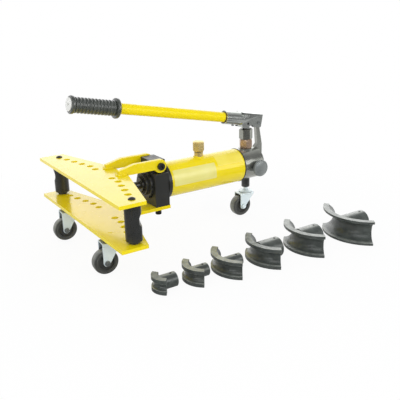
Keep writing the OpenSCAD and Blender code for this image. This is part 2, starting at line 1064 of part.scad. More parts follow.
module fork_leg_outline(top) {
    polygon([
        [-fork_leg_half, top], [fork_tail, top],
        [fork_tail, axle_z], [caster_trail - fork_foot_r, axle_z]
    ]);
    translate([caster_trail, axle_z])
        circle(fork_foot_r);
}

module caster_fork(which) {
    under = fork_under + fork_rise(which);
    top = fork_top + fork_rise(which);
    color(zinc)
    caster_place(which)
        difference() {
            union() {
                rod_z(0, 0, under, top, fork_d / 2);
                box([-fork_leg_half, -fork_outer, under], [fork_tail, fork_outer, top]);
                side_plate(fork_inner, fork_outer)
                    fork_leg_outline(top);
                side_plate(-fork_outer, -fork_inner)
                    fork_leg_outline(top);
            }
            rod_z(0, 0, under - overrun, top + overrun, stem_r + gap);
            rod_y(caster_trail, axle_z, -fork_d, fork_d, axle_r);
        }
}

module caster_axle(which) {
    color(zinc)
    caster_place(which) {
        rod_y(caster_trail, axle_z, -fork_outer - axle_head_h, fork_outer + axle_head_h, axle_r);
        for (from = [-fork_outer - axle_head_h, fork_outer])
            translate([caster_trail, from, axle_z])
                rotate([-90, 0, 0])
                    cylinder(h = axle_head_h, r = axle_head_r, $fn = hex_sides);
    }
}

module caster_hub(which) {
    color(gunmetal)
    caster_place(which)
        difference() {
            union() {
                rod_y(caster_trail, axle_z, -wheel_w / 2, wheel_w / 2, hub_r);
                rod_y(caster_trail, axle_z, -fork_inner + gap, fork_inner - gap, hub_boss_r);
            }
            rod_y(caster_trail, axle_z, -fork_d, fork_d, axle_r + pin_fit);
        }
}

module caster_tyre(which) {
    half = wheel_w / 2;
    color(rubber)
    caster_place(which)
        translate([caster_trail, 0, axle_z])
            rotate([90, 0, 0])
                rotate_extrude()
                    polygon([
                        [hub_r, -half], [axle_z - tyre_chamfer, -half], [axle_z, -half + tyre_chamfer],
                        [axle_z, half - tyre_chamfer], [axle_z - tyre_chamfer, half], [hub_r, half]
                    ]);
}

module caster_near_stem() {
    caster_stem("near");
}

module caster_near_fork() {
    caster_fork("near");
}

module caster_near_axle() {
    caster_axle("near");
}

module caster_near_hub() {
    caster_hub("near");
}

module caster_near_tyre() {
    caster_tyre("near");
}

module caster_far_stem() {
    caster_stem("far");
}

module caster_far_fork() {
    caster_fork("far");
}

module caster_far_axle() {
    caster_axle("far");
}

module caster_far_hub() {
    caster_hub("far");
}

module caster_far_tyre() {
    caster_tyre("far");
}

module caster_rear_stem() {
    caster_stem("rear");
}

module caster_rear_fork() {
    caster_fork("rear");
}

module caster_rear_axle() {
    caster_axle("rear");
}

module caster_rear_hub() {
    caster_hub("rear");
}

module caster_rear_tyre() {
    caster_tyre("rear");
}

// Bending dies in a row on the floor, with their sockets towards +X
module die(i) {
    groove_r = pipe_ds[i] / 2 + pipe_play;
    half_h = groove_r + lip_t + lip_extras[i];
    radius = die_radii[i];
    back_r = half_h + lip_crown;
    neck_from = -radius + groove_r * hub_start_share;
    hub_from = -radius + lip_w + hub_necks[i];
    hub_end = hub_overs[i];
    die_hub_r = half_h - hub_drops[i];
    color(iron)
    translate([die_ends[i] + radius * cos(die_sweep), -die_row - i * die_fan, half_h])
        difference() {
            union() {
                rotate(180 - die_sweep)
                    rotate_extrude(angle = die_sweep + die_sweep)
                        union() {
                            intersection() {
                                translate([radius, 0])
                                    circle(back_r);
                                translate([radius - back_r - overrun, -half_h])
                                    square([back_r + overrun, half_h + half_h]);
                            }
                            translate([radius - lip_w, -half_h])
                                square([lip_w, half_h + half_h]);
                        }
                translate([neck_from, 0, 0])
                    rotate([0, 90, 0])
                        cylinder(h = hub_from + overrun - neck_from, r = die_hub_r * hub_neck_share);
                translate([hub_from, 0, 0])
                    rotate([0, 90, 0])
                        cylinder(h = hub_end - hub_from, r = die_hub_r);
            }
            rotate_extrude()
                translate([radius, 0])
                    circle(groove_r);
            translate([hub_end - socket_depth, 0, 0])
                rotate([0, 90, 0])
                    cylinder(h = socket_depth + overrun, r = nose_r + nose_fit);
            translate([hub_end - screw_hole_set, 0, 0])
                cylinder(h = half_h, r = screw_hole_r);
        }
}

module die_1() {
    die(0);
}

module die_2() {
    die(1);
}

module die_3() {
    die(2);
}

module die_4() {
    die(3);
}

module die_5() {
    die(4);
}

module die_6() {
    die(5);
}

lower_plate();
front_block();
block_bolts();
pivot_bolts();
lock_ring();
tank_tube();
tank_gasket();
pressure_cylinder();
front_gland();
rod_wiper();
return_spring();
pump_body();
pump_barrel();
pump_gland();
pump_packing();
delivery_ball();
filler_neck();
upper_plate();
strap_near();
strap_far();
ram_rod();
ram_piston();
piston_seal();
handle_head();
handle_tube();
handle_grip();
grip_plug();
handle_pivot_pin();
plunger_pin();
socket_screws();
pump_plunger();
release_knob();
release_spindle();
filler_cap();
cap_seal();
shoe_near();
shoe_far();
caster_near_stem();
caster_near_fork();
caster_near_axle();
caster_near_hub();
caster_near_tyre();
caster_far_stem();
caster_far_fork();
caster_far_axle();
caster_far_hub();
caster_far_tyre();
caster_rear_stem();
caster_rear_fork();
caster_rear_axle();
caster_rear_hub();
caster_rear_tyre();
die_1();
die_2();
die_3();
die_4();
die_5();
die_6();
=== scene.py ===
"""Looks of the hydraulic pipe bender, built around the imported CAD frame."""

import math

import bmesh
import bpy
from mathutils import Matrix, Vector


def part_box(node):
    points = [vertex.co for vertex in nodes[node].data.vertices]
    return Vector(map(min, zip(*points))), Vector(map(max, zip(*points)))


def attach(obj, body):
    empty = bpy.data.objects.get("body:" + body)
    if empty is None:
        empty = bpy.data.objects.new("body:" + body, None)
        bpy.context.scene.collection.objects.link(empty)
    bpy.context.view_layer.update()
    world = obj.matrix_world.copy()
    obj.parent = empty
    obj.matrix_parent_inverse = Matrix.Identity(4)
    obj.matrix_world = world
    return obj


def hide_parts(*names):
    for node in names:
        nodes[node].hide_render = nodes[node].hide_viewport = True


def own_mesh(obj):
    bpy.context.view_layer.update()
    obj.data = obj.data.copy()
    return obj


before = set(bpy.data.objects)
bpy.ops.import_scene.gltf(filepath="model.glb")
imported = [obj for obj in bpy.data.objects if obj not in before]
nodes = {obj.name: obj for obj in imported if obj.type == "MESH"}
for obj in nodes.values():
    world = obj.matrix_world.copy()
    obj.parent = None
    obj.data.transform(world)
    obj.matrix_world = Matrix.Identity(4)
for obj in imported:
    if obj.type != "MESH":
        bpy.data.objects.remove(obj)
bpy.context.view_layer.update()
scene = bpy.context.scene

MM = 0.001
TAU = 2 * math.pi


# Camera fitted to the photograph's frame of 400 by 400
FRAME_PX = 400
FOCAL_PX = 597.632
CENTRE_PX = (207.198, 205.879)
SENSOR_MM = 36
CAM_AT = Vector((-0.43891, -1.07130, 0.50695))
CAM_RIGHT = Vector((0.82905, -0.55896, -0.01554))
CAM_UP = Vector((0.20213, 0.27366, 0.94035))
CAM_BACK = Vector((-0.52136, -0.78274, 0.33986))

lens = bpy.data.cameras.new("camera")
camera = bpy.data.objects.new("camera", lens)
scene.collection.objects.link(camera)
turn = Matrix((CAM_RIGHT, CAM_UP, CAM_BACK)).transposed()
camera.matrix_world = Matrix.Translation(CAM_AT) @ turn.to_4x4()
lens.sensor_width = SENSOR_MM
lens.lens = FOCAL_PX / FRAME_PX * SENSOR_MM
lens.shift_x = (FRAME_PX / 2 - CENTRE_PX[0]) / FRAME_PX
lens.shift_y = (CENTRE_PX[1] - FRAME_PX / 2) / FRAME_PX
lens.clip_start = 0.01
lens.clip_end = 50
scene.camera = camera


# Sizes repeated from the part's source, in millimetres
AXIS_H = 125
PUMP_X = 384.5
LEVER_ARM, STROKE_SHARE, PIVOT_H = 29.6, 0.865, 219
HANDLE_AT = (PUMP_X + LEVER_ARM * STROKE_SHARE, 0, PIVOT_H)
HANDLE_RAKE = math.radians(11)
SOCKET_AXIS = 4.5
SOCKET_END = 90.28
TANK_R = 38
FILLER_X = 254
PIVOT = (138.5, 167.5)
STRAP_IN, STRAP_OUT = 24.3, 34.3
STRAP_FRONT = 44
UPPER_TOP = 164
CASTERS = {"near": ((-13, -102), 175), "far": ((-13, 102), 175), "rear": ((PUMP_X, 0), 178)}
FRONT_RISE = 10
TRAIL = 15
AXLE_Z = 25
AXLE_WAY = (-0.075, -0.997, 0)
KNOB_AT = (392, -42, 122)
DIE_ENDS = (20, 91, 165, 251, 356, 480)
DIE_RADII = (30, 43, 60, 66.5, 74.5, 90)
PIPE_DS = (13.7, 17.2, 21.3, 26.9, 33.7, 42.4)
HUB_OVERS = (15, 4, -4.5, -2, -8, -8)
HUB_DROPS = (0.5, 3.5, 5, 0.5, 0.5, 5)
LIPS = (7.3, 7.1, 6.3, 7.0, 5.8, 4.7)
DIE_ROW, DIE_FAN, DIE_SWEEP = 224, 3, math.radians(55)


# Material helpers
def srgb(r, g, b):
    """A colour of 0 to 255 as linear RGBA."""
    def one(c):
        c = c / 255
        return c / 12.92 if c <= 0.04045 else ((c + 0.055) / 1.055) ** 2.4
    return (one(r), one(g), one(b), 1)


class Wires:
    """A node tree, emptied, with a few helpers to wire it."""

    def __init__(self, tree):
        self.tree = tree
        self.tree.nodes.clear()

    def node(self, kind, **props):
        n = self.tree.nodes.new(kind)
        for k, v in props.items():
            setattr(n, k, v)
        return n

    def join(self, a, b):
        self.tree.links.new(a, b)

    def put(self, socket, value):
        if isinstance(value, bpy.types.NodeSocket):
            self.join(value, socket)
        else:
            socket.default_value = value

    def remap(self, fac, low, high, to_low=0.0, to_high=1.0):
        n = self.node("ShaderNodeMapRange")
        self.join(fac, n.inputs["Value"])
        for k, v in (("From Min", low), ("From Max", high), ("To Min", to_low), ("To Max", to_high)):
            n.inputs[k].default_value = v
        return n.outputs[0]

    def math(self, operation, a, b):
        n = self.node("ShaderNodeMath", operation=operation)
        self.put(n.inputs[0], a)
        self.put(n.inputs[1], b)
        return n.outputs[0]

    def vector(self, operation, a, b):
        n = self.node("ShaderNodeVectorMath", operation=operation)
        self.put(n.inputs[0], a)
        self.put(n.inputs[1], b)
        return n.outputs["Value"]

    def blend(self, fac, a, b, out):
        """Mixes two shaders into an output node."""
        n = self.node("ShaderNodeMixShader")
        for socket, value in zip(n.inputs, (fac, a, b)):
            self.join(value, socket)
        self.join(n.outputs[0], out.inputs[0])


class Shade(Wires):
    """A principled material with helpers for its detail."""

    def __init__(self, name):
        self.material = bpy.data.materials.new(name)
        self.material.use_nodes = True
        super().__init__(self.material.node_tree)
        self.bsdf = self.node("ShaderNodeBsdfPrincipled")
        out = self.node("ShaderNodeOutputMaterial")
        self.join(self.bsdf.outputs[0], out.inputs[0])
        self.coord = self.node("ShaderNodeTexCoord").outputs["Object"]

    def set(self, **values):
        for k, v in values.items():
            self.put(self.bsdf.inputs[k.replace("_", " ")], v)

    def stretch(self, scale):
        n = self.node("ShaderNodeMapping")
        self.join(self.coord, n.inputs["Vector"])
        n.inputs["Scale"].default_value = scale
        return n.outputs[0]

    def noise(self, scale, detail=3, rough=0.55, vector=None):
        n = self.node("ShaderNodeTexNoise")
        self.join(vector or self.coord, n.inputs["Vector"])
        n.inputs["Scale"].default_value = scale
        n.inputs["Detail"].default_value = detail
        n.inputs["Roughness"].default_value = rough
        return n.outputs["Fac"]

    def mix(self, fac, a, b):
        n = self.node("ShaderNodeMix", data_type="RGBA")
        self.put(n.inputs[0], fac)
        self.put(n.inputs[6], a)
        self.put(n.inputs[7], b)
        return n.outputs[2]

    def edges(self, radius, low=0.80, high=0.985):
        """About 1 along sharp edges and 0 on open faces."""
        bevel = self.node("ShaderNodeBevel", samples=6)
        bevel.inputs["Radius"].default_value = radius
        normal = self.node("ShaderNodeNewGeometry").outputs["Normal"]
        return self.remap(self.vector("DOT_PRODUCT", bevel.outputs[0], normal), low, high, 1, 0)

    def bump(self, *layers):
        """Bumps from (height, strength, distance), the first one innermost."""
        normal = None
        for height, strength, distance in layers:
            n = self.node("ShaderNodeBump")
            n.inputs["Strength"].default_value = strength
            n.inputs["Distance"].default_value = distance
            self.join(height, n.inputs["Height"])
            if normal:
                self.join(normal, n.inputs["Normal"])
            normal = n.outputs[0]
        self.join(normal, self.bsdf.inputs["Normal"])


def paint(name, colour, deep, worn, *, coat, rough=(0.16, 0.30), wear=0.35, gloss=0.5):
    """Sprayed enamel: slightly uneven colour, orange peel, and worn edges."""
    s = Shade(name)
    cloud = s.remap(s.noise(14, 3), 0.35, 0.7)
    base = s.mix(cloud, colour, deep)
    chips = s.math("MULTIPLY", s.edges(0.0008), s.remap(s.noise(420, 4), 0.50, 0.62))
    s.set(Base_Color=s.mix(s.math("MULTIPLY", chips, wear), base, worn))
    s.set(Roughness=s.remap(s.noise(60, 3), 0.3, 0.75, *rough))
    s.set(Coat_Weight=coat, Coat_Roughness=0.06, Specular_IOR_Level=gloss)
    s.bump((s.noise(520, 2), 0.10, 0.00012))
    return s.material


def cast(name, colour, dark, light, *, rough, metallic, grain, wear, stain=None, coat=0.0, top=None, fine=5):
    """Cast metal: mottled, edges lighter from rubbing; on the dies this lightening is partly a painted
    highlight along the rims. top paints a light sheen on faces turned up, as if lit from above; fine is the
    noise's detail.
    """
    s = Shade(name)
    mottle = s.remap(s.noise(55, fine, 0.45 + 0.04 * fine), 0.36, 0.68)
    base = s.mix(mottle, dark, colour)
    if stain:
        base = s.mix(s.remap(s.noise(22, 4), 0.52, 0.72, 0.0, 0.5), base, stain)
    # Painted sheen: faces turned up are coloured lighter, in patches, as if lit from above.
    if top:
        face = s.node("ShaderNodeSeparateXYZ")
        s.join(s.node("ShaderNodeNewGeometry").outputs["Normal"], face.inputs[0])
        top_light_mask = s.remap(face.outputs["Z"], 0.92, 0.995)
        patchy = s.remap(s.noise(70, 4), 0.30, 0.62, 0.35, 1.0)
        base = s.mix(s.math("MULTIPLY", top_light_mask, patchy), base, top)
    # Edges lighten from rubbing; on the dies this is also a painted highlight along the lip rims.
    rubbed_and_lit_edges = s.math("MULTIPLY", s.edges(0.0014, 0.72, 0.98), s.remap(s.noise(180, 3), 0.34, 0.60))
    s.set(Base_Color=s.mix(s.math("MULTIPLY", rubbed_and_lit_edges, wear), base, light))
    s.set(Roughness=s.remap(s.noise(40 + 22 * fine, fine - 1), 0.3, 0.75, *rough), Metallic=metallic)
    s.set(Coat_Weight=coat, Coat_Roughness=0.16)
    s.bump((s.noise(900, 3), grain, 0.00025), (s.noise(210, 3), grain * 0.6, 0.0005))
    return s.material


def metal(name, colour, dark, *, rough, metallic, lines=None, line_bump=0.12, wear=0.0, light=None,
          hollow_shade=None):
    """Bare or plated metal with faint tool marks. light colours worn edges; hollows that ambient occlusion
    finds get painted shade.
    """
    s = Shade(name)
    cloud = s.remap(s.noise(38, 4), 0.32, 0.72)
    base = s.mix(cloud, dark, colour)
    if wear:
        base = s.mix(s.math("MULTIPLY", s.edges(0.0009), wear), base, light)
    # Painted shade: hollows found by ambient occlusion are darkened toward the shade colour.
    if hollow_shade:
        shade_ao = s.node("ShaderNodeAmbientOcclusion", samples=8)
        shade_ao.inputs["Distance"].default_value = 0.03
        base = s.mix(s.remap(shade_ao.outputs["AO"], 0.22, 0.62), hollow_shade, base)
    s.set(Base_Color=base, Metallic=metallic)
    marks = s.noise(1.0, 3, 0.6, s.stretch(lines)) if lines else s.noise(700, 3)
    s.set(Roughness=s.remap(marks, 0.3, 0.7, *rough))
    s.bump((marks, line_bump, 0.00012))
    return s.material


def rubber(name, colour, grey, *, rough=(0.5, 0.72), grain=0.25, coat=0.0, tread_highlight=None):
    """Moulded rubber: matt, dusty in places. The running surface, which faces away from the axle, is painted
    lighter all round as a painted highlight.
    """
    s = Shade(name)
    base = s.mix(s.remap(s.noise(70, 4), 0.4, 0.75), colour, grey)
    # Painted highlight: the running surface is coloured lighter, in patches.
    if tread_highlight:
        side = s.vector("DOT_PRODUCT", s.node("ShaderNodeTexCoord").outputs["Normal"], AXLE_WAY)
        lit_tread_mask = s.remap(s.math("MULTIPLY", side, side), 0.12, 0.75, 1, 0)
        patchy = s.remap(s.noise(120, 3), 0.3, 0.65, 0.55, 1.0)
        base = s.mix(s.math("MULTIPLY", lit_tread_mask, patchy), base, tread_highlight)
    s.set(Base_Color=base)
    s.set(Roughness=s.remap(s.noise(160, 3), 0.3, 0.7, *rough))
    s.set(Coat_Weight=coat, Coat_Roughness=0.22)
    s.bump((s.noise(1300, 2), grain, 0.0001))
    return s.material


def film(name, colour, deep):
    """Plain printed film with nothing on it."""
    s = Shade(name)
    s.set(Base_Color=s.mix(s.remap(s.noise(25, 3), 0.35, 0.7), colour, deep))
    s.set(Roughness=s.remap(s.noise(90, 2), 0.3, 0.7, 0.28, 0.40), Coat_Weight=0.3, Coat_Roughness=0.1)
    s.bump((s.noise(600, 2), 0.06, 0.0001))
    return s.material


YELLOW, YELLOW_DEEP, YELLOW_WORN = srgb(243, 221, 10), srgb(239, 215, 7), srgb(168, 156, 110)

M = {
    "yellow": paint("yellow_enamel", YELLOW, YELLOW_DEEP, YELLOW_WORN, coat=0.35),
    "tube": paint("tube_enamel", YELLOW, YELLOW_DEEP, YELLOW_WORN, rough=(0.24, 0.36), coat=0.0, gloss=0.25),
    "black": paint("black_enamel", srgb(46, 47, 45), srgb(36, 37, 36), srgb(124, 124, 120),
                   rough=(0.34, 0.52), wear=0.5, coat=0.15),
    # Die iron: top is a painted sheen on faces turned up; the light edges are partly wear and partly a
    # painted highlight on the lip rims.
    "iron": cast("die_iron", srgb(84, 90, 86), srgb(62, 67, 65), srgb(178, 180, 174),
                 rough=(0.34, 0.50), metallic=0.2, grain=0.22, wear=0.8, stain=srgb(80, 80, 74), coat=0.5,
                 top=srgb(152, 156, 151)),
    "pump": cast("pump_iron", srgb(174, 175, 168), srgb(158, 160, 153), srgb(216, 216, 210),
                 rough=(0.13, 0.20), metallic=0.8, grain=0.03, wear=0.35, fine=1),
    "knob": metal("knob_steel", srgb(156, 161, 160), srgb(140, 145, 144),
                  rough=(0.30, 0.42), metallic=0.6, line_bump=0.06, wear=0.5, light=srgb(190, 194, 192)),
    "head": cast("head_steel", srgb(204, 208, 204), srgb(188, 192, 188), srgb(228, 230, 226),
                 rough=(0.13, 0.20), metallic=0.9, grain=0.03, wear=0.4, fine=1),
    "dark": metal("black_steel", srgb(52, 52, 52), srgb(38, 38, 39),
                  rough=(0.32, 0.5), metallic=0.6, line_bump=0.2, wear=0.6, light=srgb(120, 120, 118)),
    "shoe": metal("shoe_steel", srgb(66, 67, 66), srgb(54, 55, 54),
                  rough=(0.24, 0.36), metallic=0.4, wear=0.5, light=srgb(110, 111, 110)),
    "steel": metal("bright_steel", srgb(186, 188, 190), srgb(166, 168, 170),
                   rough=(0.14, 0.28), metallic=1.0, lines=(900, 30, 30)),
    "ram": metal("ram_steel", srgb(104, 105, 104), srgb(78, 79, 79),
                 rough=(0.22, 0.36), metallic=0.9, lines=(1600, 60, 60)),
    "hex": metal("gland_steel", srgb(168, 170, 161), srgb(146, 148, 140),
                 rough=(0.22, 0.34), metallic=0.9, wear=0.5, light=srgb(200, 200, 194)),
    "copper": metal("dull_copper", srgb(204, 178, 156), srgb(170, 142, 120),
                    rough=(0.22, 0.36), metallic=0.8, wear=0.5, light=srgb(222, 204, 182)),
    "brass": metal("dull_brass", srgb(236, 214, 150), srgb(216, 188, 118),
                   rough=(0.20, 0.36), metallic=0.6, line_bump=0.15, wear=0.5, light=srgb(246, 234, 190)),
    # Zinc: painted shade darkens its hollows, such as the inside of the forks.
    "zinc": metal("zinc_plate", srgb(240, 250, 252), srgb(230, 243, 247),
                  rough=(0.26, 0.42), metallic=0.25, lines=(60, 60, 700), line_bump=0.08,
                  hollow_shade=srgb(38, 42, 44)),
    "axle": metal("axle_zinc", srgb(150, 154, 154), srgb(112, 116, 116),
                  rough=(0.28, 0.44), metallic=0.8, line_bump=0.15, wear=0.5, light=srgb(190, 194, 194)),
    "seal": rubber("seal_rubber", srgb(26, 26, 26), srgb(40, 40, 40)),
    "ring": rubber("socket_sealant", srgb(64, 48, 32), srgb(84, 66, 46), rough=(0.45, 0.6)),
    "grip": rubber("grip_rubber", srgb(62, 66, 62), srgb(80, 84, 80), rough=(0.22, 0.34), grain=0.06,
                   coat=1.0),
    # Tyre: its running surface carries a painted highlight.
    "tyre": rubber("tyre_rubber", srgb(56, 57, 54), srgb(74, 75, 71), rough=(0.30, 0.46), coat=0.5,
                   tread_highlight=srgb(122, 124, 118)),
    "hub": rubber("hub_moulding", srgb(54, 55, 53), srgb(70, 71, 68), rough=(0.4, 0.55), grain=0.1),
    "white": rubber("white_plastic", srgb(236, 236, 232), srgb(222, 222, 216), rough=(0.35, 0.5), grain=0.08),
    "label": film("blank_label", srgb(235, 228, 142), srgb(231, 222, 126)),
    "patch": film("blank_patch", srgb(247, 230, 96), srgb(243, 223, 78)),
}


# Mesh helpers
SHARP = math.radians(32)
WELD_DIST = 1e-5
FLAT = math.radians(0.6)


def smooth_group():
    """Geometry nodes that smooth faces and keep edges over an angle sharp."""
    g = bpy.data.node_groups.new("smooth_by_angle", "GeometryNodeTree")
    g.interface.new_socket("Geometry", in_out="INPUT", socket_type="NodeSocketGeometry")
    g.interface.new_socket("Geometry", in_out="OUTPUT", socket_type="NodeSocketGeometry")
    first = g.nodes.new("NodeGroupInput")
    last = g.nodes.new("NodeGroupOutput")
    normals = g.nodes.new("GeometryNodeSetMeshNormal")
    angle = g.nodes.new("GeometryNodeInputMeshEdgeAngle")
    over = g.nodes.new("ShaderNodeMath")
    over.operation = "GREATER_THAN"
    over.inputs[1].default_value = SHARP
    g.links.new(angle.outputs["Unsigned Angle"], over.inputs[0])
    g.links.new(over.outputs[0], normals.inputs["Edge Sharpness"])
    g.links.new(first.outputs[0], normals.inputs["Mesh"])
    g.links.new(normals.outputs[0], last.inputs[0])
    return g


SMOOTH = smooth_group()


def finish_edges(obj, width):
    """Smooths what is nearly flat and rounds an object's edges for the eye; its mesh stays as it is."""
    mod = obj.modifiers.new("smooth", "NODES")
    mod.node_group = SMOOTH
    if width:
        mod = obj.modifiers.new("bevel", "BEVEL")
        mod.width = width
        mod.segments = 2
        mod.limit_method = "ANGLE"
        mod.angle_limit = SHARP
        mod.harden_normals = True


def dress(name, material, width):
    """Gives a CAD node that stays its material and its softened edges."""
    obj = nodes[name]
    obj.data.materials.clear()
    obj.data.materials.append(M[material])
    weld = obj.modifiers.new("weld", "WELD")
    weld.merge_threshold = WELD_DIST
    if width:
        plain = obj.modifiers.new("plain", "DECIMATE")
        plain.decimate_type = "DISSOLVE"
        plain.angle_limit = FLAT
    finish_edges(obj, width)


def piece(name, bm, material, body, at=None, replaces=(), edge=0.0):
    """Turns a bmesh in millimetres into a piece that rides on a body."""
    bmesh.ops.remove_doubles(bm, verts=bm.verts, dist=1e-4)
    bmesh.ops.recalc_face_normals(bm, faces=bm.faces)
    mesh = bpy.data.meshes.new(name)
    bm.to_mesh(mesh)
    bm.free()
    if at is not None:
        mesh.transform(at)
    mesh.transform(Matrix.Scale(MM, 4))
    mesh.materials.append(M[material])
    obj = bpy.data.objects.new(name, mesh)
    scene.collection.objects.link(obj)
    finish_edges(obj, edge * MM)
    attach(obj, body)
    if replaces:
        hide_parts(*replaces)
    return obj


def lathe(profile, steps=96, bm=None, at=None):
    """A closed profile turned about Z. A radius may be a rule of the angle, a height one of the radius."""
    bm = bm or bmesh.new()
    rings = []
    for r, h in profile:
        if not callable(r) and r < 1e-6:
            rings.append([bm.verts.new((0, 0, h))])
            continue
        ring = []
        for i in range(steps):
            a = TAU * i / steps
            rr = r(a) if callable(r) else r
            ring.append(bm.verts.new((rr * math.cos(a), rr * math.sin(a), h(rr) if callable(h) else h)))
        rings.append(ring)
    count = len(rings)
    for k in range(count):
        a, b = rings[k], rings[(k + 1) % count]
        if len(a) == 1 and len(b) == 1:
            continue
        for i in range(steps):
            j = (i + 1) % steps
            if len(a) == 1:
                bm.faces.new((a[0], b[j], b[i]))
            elif len(b) == 1:
                bm.faces.new((a[i], a[j], b[0]))
            else:
                bm.faces.new((a[i], a[j], b[j], b[i]))
    if at is not None:
        bmesh.ops.transform(bm, matrix=at, verts=[v for ring in rings for v in ring])
    return bm


def hex_rule(flats, phase=0.0):
    """The radius of a hexagon at an angle; phase is where a corner lies."""
    def side(a):
        return flats / 2 / math.cos((a - phase) % (TAU / 6) - TAU / 12)
    return side


CONE_SHARE = 0.965


def hex_band(flats, low, high, phase=0.0, slope=0.7, crown=0.0):
    """The outside of a hexagon whose corners are turned down at both ends, from low to high."""
    side = hex_rule(flats, phase)
    cone = flats / 2 * CONE_SHARE

    def drop(r):
        return max(0.0, r - cone) * slope
    return [(cone, low), (side, lambda r: low + drop(r)), (side, lambda r: high - crown - drop(r)),
            (cone, high - crown)]


def arc(cx, cy, r, start, end, steps=6):
    """Points of an arc in a profile, angles in degrees."""
    out = []
    for i in range(steps + 1):
        a = math.radians(start + (end - start) * i / steps)
        out.append((cx + r * math.cos(a), cy + r * math.sin(a)))
    return out


def along(direction, at):
    """A matrix that lays Z along a direction and moves to a place."""
    return Matrix.Translation(Vector(at)) @ Vector(direction).to_track_quat("Z", "Y").to_matrix().to_4x4()


def cap_screw(head_r, head_h, shank_r, shank, key, depth, bm, at):
    """A socket head screw: its shank runs down from zero height and its head up."""
    soft = 0.7
    return lathe([
        (0, -shank), (shank_r - soft, -shank), (shank_r, -shank + soft), (shank_r, 0), (head_r, 0),
        (head_r, head_h - soft), (head_r - soft, head_h), (key * 0.62, head_h), (hex_rule(key), head_h - 0.5),
        (hex_rule(key), head_h - depth), (0, head_h - depth - 0.6)
    ], bm=bm, at=at)


def skin(bm, rings):
    """Joins rings of points one after the other and closes both ends."""
    count = len(rings[0])
    for a, b in zip(rings, rings[1:]):
        for i in range(count):
            j = (i + 1) % count
            bm.faces.new((a[i], a[j], b[j], b[i]))
    bm.faces.new(list(reversed(rings[0])))
    bm.faces.new(rings[-1])
    return bm


def bead(points, radius, pitch=2.2, sides=12, bm=None):
    """A weld bead: a tube along a path, rippled where each drop froze."""
    bm = bm or bmesh.new()
    line = [Vector(p) for p in points]
    fine = []
    for a, b in zip(line, line[1:]):
        count = max(1, int((b - a).length / (pitch / 6)))
        fine += [a.lerp(b, i / count) for i in range(count)]
    fine.append(line[-1])
    last = len(fine) - 1
    rings = []
    run = 0.0
    n = None
    for k, p in enumerate(fine):
        ahead = (fine[min(k + 2, last)] - fine[max(k - 2, 0)]).normalized()
        if k:
            run += (p - fine[k - 1]).length
        n = n - ahead * n.dot(ahead) if n else ahead.orthogonal()
        n.normalize()
        m = ahead.cross(n)
        phase = (run / pitch) % 1.0
        taper = min(1.0, 0.25 + min(k, last - k) / 8)
        r = radius * taper * (0.82 + 0.22 * math.sqrt(max(0.0, 1 - (2 * phase - 1) ** 2)))
        r *= 1 + 0.07 * math.sin(run * 0.9) + 0.05 * math.sin(run * 0.33 + 1)
        ring = []
        for i in range(sides):
            a = TAU * i / sides
            ring.append(bm.verts.new(p + (n * math.cos(a) + m * math.sin(a)) * r))
        rings.append(ring)
    return skin(bm, rings)


def wrap(x0, x1, low, high, corner):
    """A film laid round the tank between two stations and two angles in degrees, with rounded corners."""
    thick, lift, rows = 0.2, 0.03, 24
    bm = bmesh.new()
    bend = [corner * (1 - math.cos(math.radians(15 * i))) for i in range(6)]
    middle = [x0 + corner + (x1 - x0 - 2 * corner) * i / 8 for i in range(9)]
    stations = [x0 + d for d in bend] + middle + [x1 - d for d in reversed(bend)]
    grids = []
    for radius in (TANK_R + lift + thick, TANK_R + lift):
        grid = []
        for x in stations:
            d = min(x - x0, x1 - x, corner)
            inset = (corner - math.sqrt(max(0.0, corner ** 2 - (corner - d) ** 2))) / TANK_R
            a0, a1 = math.radians(low) + inset, math.radians(high) - inset
            column = []
            for j in range(rows + 1):
                a = a0 + (a1 - a0) * j / rows
                column.append(bm.verts.new((x, -radius * math.cos(a), AXIS_H + radius * math.sin(a))))
            grid.append(column)
        grids.append(grid)
    top, under = grids
    last = len(stations) - 1
    for i in range(last):
        for j in range(rows):
            bm.faces.new((top[i][j], top[i + 1][j], top[i + 1][j + 1], top[i][j + 1]))
            bm.faces.new((under[i][j], under[i][j + 1], under[i + 1][j + 1], under[i + 1][j]))
        for j in (0, rows):
            bm.faces.new((top[i][j], top[i + 1][j], under[i + 1][j], under[i][j]))
    for j in range(rows):
        for i in (0, last):
            bm.faces.new((top[i][j], top[i][j + 1], under[i][j + 1], under[i][j]))
    return bm


# CAD nodes that stay: materials and softened edges in metres
KEPT = {
    "lower_plate": ("yellow", 0.0007), "upper_plate": ("yellow", 0.0007),
    "strap_near": ("yellow", 0.0014), "strap_far": ("yellow", 0.0014),
    "tank_tube": ("yellow", 0.0005), "handle_tube": ("tube", 0.0004),
    "front_block": ("black", 0.0014), "lock_ring": ("black", 0.0010), "front_gland": ("black", 0.0006),
    "tank_gasket": ("seal", 0.0003), "rod_wiper": ("seal", 0.0004),
    "ram_rod": ("ram", 0.0008), "ram_piston": ("steel", 0.0), "piston_seal": ("seal", 0.0),
    "pressure_cylinder": ("steel", 0.0), "delivery_ball": ("steel", 0.0),
    "pump_body": ("pump", 0.0012), "pump_packing": ("seal", 0.0), "filler_neck": ("brass", 0.0004),
    "handle_head": ("head", 0.0014), "plunger_pin": ("dark", 0.0004), "socket_screws": ("dark", 0.0004),
    "pump_plunger": ("dark", 0.0006), "release_spindle": ("steel", 0.0004), "cap_seal": ("seal", 0.0),
    "shoe_near": ("shoe", 0.0010), "shoe_far": ("shoe", 0.0010), "grip_plug": ("white", 0.0006),
}
for k in range(len(DIE_ENDS)):
    KEPT[f"die_{k + 1}"] = ("iron", 0.0010)
for name, (material, width) in KEPT.items():
    dress(name, material, width)


# Handle: ribbed grip, pivot pin with its centre marks, and the ring of sealant where the tube enters
HANDLE = Matrix.Translation(HANDLE_AT) @ Matrix.Rotation(HANDLE_RAKE, 4, "Y")
HANDLE_BAR = HANDLE @ along((-1, 0, 0), (0, 0, SOCKET_AXIS))


